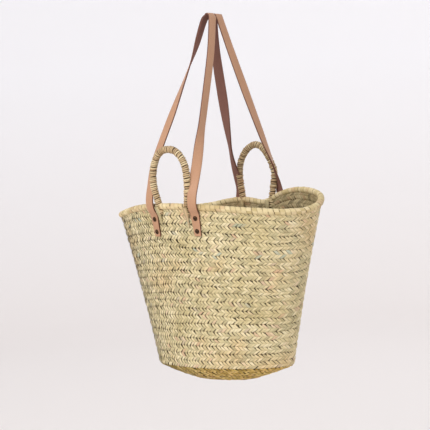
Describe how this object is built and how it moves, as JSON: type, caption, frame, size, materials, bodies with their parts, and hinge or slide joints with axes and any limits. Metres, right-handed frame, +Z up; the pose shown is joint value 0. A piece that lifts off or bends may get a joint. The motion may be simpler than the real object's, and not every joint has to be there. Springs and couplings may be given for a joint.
{
  "type": "market basket",
  "caption": "Spirally sewn palm-leaf market basket with an oval mouth, whipped rim, short rope handles and long riveted leather shoulder straps.",
  "frame": {"origin": "middle of the flat oval that the basket stands on", "axes": "+Z up, +X along the mouth, -Y is the front long side"},
  "size_m": [0.4921, 0.3068, 0.7525],
  "materials": {
    "wall_leaf": "dry plaited palm leaf, satin",
    "bottom_leaf": "dry plaited palm leaf, golden brown",
    "rim_leaf": "pale palm leaf whipping, satin",
    "handle_leaf": "palm leaf wrapping, satin",
    "palm_rope": "twisted palm fibre, matt",
    "strap_leather": "tan vegetable leather, satin, dark raw edges",
    "rivet_metal": "dark antiqued, domed",
    "burr_metal": "dark antiqued, flat"
  },
  "bodies": {
    "basket": {"bottom_plait": "bottom_leaf", "wall_plait": "wall_leaf", "seam_cord": "palm_rope", "rim_core": "palm_rope", "rim_wrap": "rim_leaf", "front_left_outer_tail": "handle_leaf", "front_left_inner_tail": "handle_leaf", "front_right_outer_tail": "handle_leaf", "front_right_inner_tail": "handle_leaf", "rear_left_outer_tail": "handle_leaf", "rear_left_inner_tail": "handle_leaf", "rear_right_outer_tail": "handle_leaf", "rear_right_inner_tail": "handle_leaf", "front_left_strap_end": "strap_leather", "front_right_strap_end": "strap_leather", "rear_left_strap_end": "strap_leather", "rear_right_strap_end": "strap_leather", "front_left_rivets": "rivet_metal", "front_right_rivets": "rivet_metal", "rear_left_rivets": "rivet_metal", "rear_right_rivets": "rivet_metal", "front_left_burrs": "burr_metal", "front_right_burrs": "burr_metal", "rear_left_burrs": "burr_metal", "rear_right_burrs": "burr_metal"},
    "front_strap_loop": {"front_strap": "strap_leather"},
    "rear_strap_loop": {"rear_strap": "strap_leather"},
    "front_handle": {"front_handle_core": "palm_rope", "front_handle_wrap": "handle_leaf"},
    "rear_handle": {"rear_handle_core": "palm_rope", "rear_handle_wrap": "handle_leaf"}
  },
  "joints": [
    {"name": "front_strap_fold", "type": "hinge", "parent": "basket", "child": "front_strap_loop", "pos_m": [0, -0.1441, 0.33994], "axis": [1, 0, 0], "range_deg": [0, 190]},
    {"name": "rear_strap_fold", "type": "hinge", "parent": "basket", "child": "rear_strap_loop", "pos_m": [0, 0.14285, 0.33594], "axis": [-1, 0, 0], "range_deg": [0, 178]},
    {"name": "front_handle_flex", "type": "hinge", "parent": "basket", "child": "front_handle", "pos_m": [0, -0.1324, 0.35961], "axis": [1, 0, 0], "range_deg": [-2, 20], "stiffness_Nm_per_rad": 0.6},
    {"name": "rear_handle_flex", "type": "hinge", "parent": "basket", "child": "rear_handle", "pos_m": [0, 0.1324, 0.35797], "axis": [-1, 0, 0], "range_deg": [-6, 20], "stiffness_Nm_per_rad": 0.6}
  ]
}
